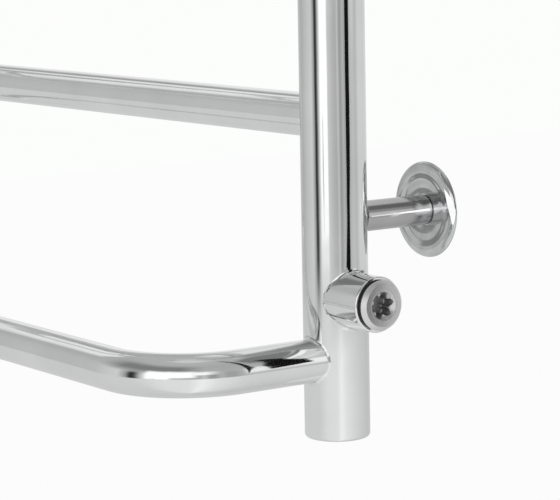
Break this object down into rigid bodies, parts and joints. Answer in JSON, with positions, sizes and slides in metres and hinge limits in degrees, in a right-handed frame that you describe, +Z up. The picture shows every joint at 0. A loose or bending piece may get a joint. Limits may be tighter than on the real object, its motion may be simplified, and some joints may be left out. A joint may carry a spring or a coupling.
{
  "type": "towel warmer rack",
  "caption": "Water-heated ladder towel rack: two upright tubes, straight and bowed rungs, side threaded bosses with plug and vent, and telescopic wall brackets with rosettes.",
  "frame": {"origin": "centre of the rectangle of wall screws, on the wall plane at the back faces of the wall inserts", "axes": "+X to the viewer's right along the rungs, +Y into the wall, +Z up along the collectors"},
  "size_m": [0.5736, 0.1675, 0.638],
  "materials": {
    "polished_steel": "mirror polished",
    "satin_steel": "satin",
    "grey_plated": "satin grey plated",
    "plated_brass": "plated, semi-gloss",
    "bracket_steel": "turned steel",
    "dark_steel": "black oxide",
    "seal_rubber": "matte"
  },
  "bodies": {
    "wall_inserts": {"insert_lower_left": "bracket_steel", "insert_lower_right": "bracket_steel", "insert_upper_left": "bracket_steel", "insert_upper_right": "bracket_steel"},
    "rack": {"collector_left": "polished_steel", "collector_right": "polished_steel", "cap_lower_left": "polished_steel", "cap_lower_right": "polished_steel", "cap_upper_left": "polished_steel", "cap_upper_right": "polished_steel", "bowed_rung_lower": "polished_steel", "bowed_rung_middle": "polished_steel", "bowed_rung_upper": "polished_steel", "straight_rung_lower": "polished_steel", "straight_rung_middle": "polished_steel", "straight_rung_upper": "polished_steel", "boss_lower_left": "polished_steel", "boss_lower_right": "polished_steel", "boss_upper_left": "polished_steel", "boss_upper_right": "polished_steel", "stud_lower_left": "bracket_steel", "stud_lower_right": "bracket_steel", "stud_upper_left": "bracket_steel", "stud_upper_right": "bracket_steel", "standoff_lower_left": "satin_steel", "standoff_lower_right": "satin_steel", "standoff_upper_left": "satin_steel", "standoff_upper_right": "satin_steel"},
    "rosette_lower_left_slider": {"rosette_lower_left": "polished_steel"},
    "rosette_lower_right_slider": {"rosette_lower_right": "polished_steel"},
    "rosette_upper_left_slider": {"rosette_upper_left": "polished_steel"},
    "rosette_upper_right_slider": {"rosette_upper_right": "polished_steel"},
    "grub_lower_left_screw": {"grub_lower_left": "dark_steel"},
    "grub_lower_right_screw": {"grub_lower_right": "dark_steel"},
    "grub_upper_left_screw": {"grub_upper_left": "dark_steel"},
    "grub_upper_right_screw": {"grub_upper_right": "dark_steel"},
    "plug_seal_ring": {"plug_seal": "seal_rubber"},
    "plug": {"blind_plug": "grey_plated"},
    "vent_seal_ring": {"vent_seal": "seal_rubber"},
    "vent": {"vent_body": "plated_brass"},
    "bleed_screw_body": {"bleed_screw": "plated_brass"}
  },
  "joints": [
    {"name": "rack_slide", "type": "slide", "parent": "wall_inserts", "child": "rack", "axis": [0, -1, 0], "range_m": [0, 0.01]},
    {"name": "rosette_lower_left_slide", "type": "slide", "parent": "rack", "child": "rosette_lower_left_slider", "axis": [0, -1, 0], "range_m": [0, 0.03]},
    {"name": "rosette_lower_right_slide", "type": "slide", "parent": "rack", "child": "rosette_lower_right_slider", "axis": [0, -1, 0], "range_m": [0, 0.03]},
    {"name": "rosette_upper_left_slide", "type": "slide", "parent": "rack", "child": "rosette_upper_left_slider", "axis": [0, -1, 0], "range_m": [0, 0.03]},
    {"name": "rosette_upper_right_slide", "type": "slide", "parent": "rack", "child": "rosette_upper_right_slider", "axis": [0, -1, 0], "range_m": [0, 0.03]},
    {"name": "grub_lower_left_turn", "type": "hinge", "parent": "rack", "child": "grub_lower_left_screw", "pos_m": [-0.25, -0.009, -0.2185], "axis": [0, 0, -1], "range_deg": [0, 360]},
    {"name": "grub_lower_right_turn", "type": "hinge", "parent": "rack", "child": "grub_lower_right_screw", "pos_m": [0.25, -0.009, -0.2185], "axis": [0, 0, -1], "range_deg": [0, 360]},
    {"name": "grub_upper_left_turn", "type": "hinge", "parent": "rack", "child": "grub_upper_left_screw", "pos_m": [-0.25, -0.009, 0.2065], "axis": [0, 0, -1], "range_deg": [0, 360]},
    {"name": "grub_upper_right_turn", "type": "hinge", "parent": "rack", "child": "grub_upper_right_screw", "pos_m": [0.25, -0.009, 0.2065], "axis": [0, 0, -1], "range_deg": [0, 360]},
    {"name": "plug_travel", "type": "slide", "parent": "rack", "child": "plug_seal_ring", "axis": [1, 0, 0], "range_m": [0, 0.012]},
    {"name": "plug_turn", "type": "hinge", "parent": "plug_seal_ring", "child": "plug", "pos_m": [0.28, -0.0569, -0.25], "axis": [1, 0, 0], "range_deg": [0, 2376]},
    {"name": "vent_travel", "type": "slide", "parent": "rack", "child": "vent_seal_ring", "axis": [1, 0, 0], "range_m": [0, 0.012]},
    {"name": "vent_turn", "type": "hinge", "parent": "vent_seal_ring", "child": "vent", "pos_m": [0.28, -0.0569, 0.25], "axis": [1, 0, 0], "range_deg": [0, 2376]},
    {"name": "bleed_screw_turn", "type": "hinge", "parent": "vent", "child": "bleed_screw_body", "pos_m": [0.283, -0.0569, 0.25], "axis": [1, 0, 0], "range_deg": [0, 540]}
  ],
  "couplings": [
    {"joint": "plug_travel", "follows": "plug_turn", "m_per_rad": 0.00028871},
    {"joint": "vent_travel", "follows": "vent_turn", "m_per_rad": 0.00028871}
  ]
}
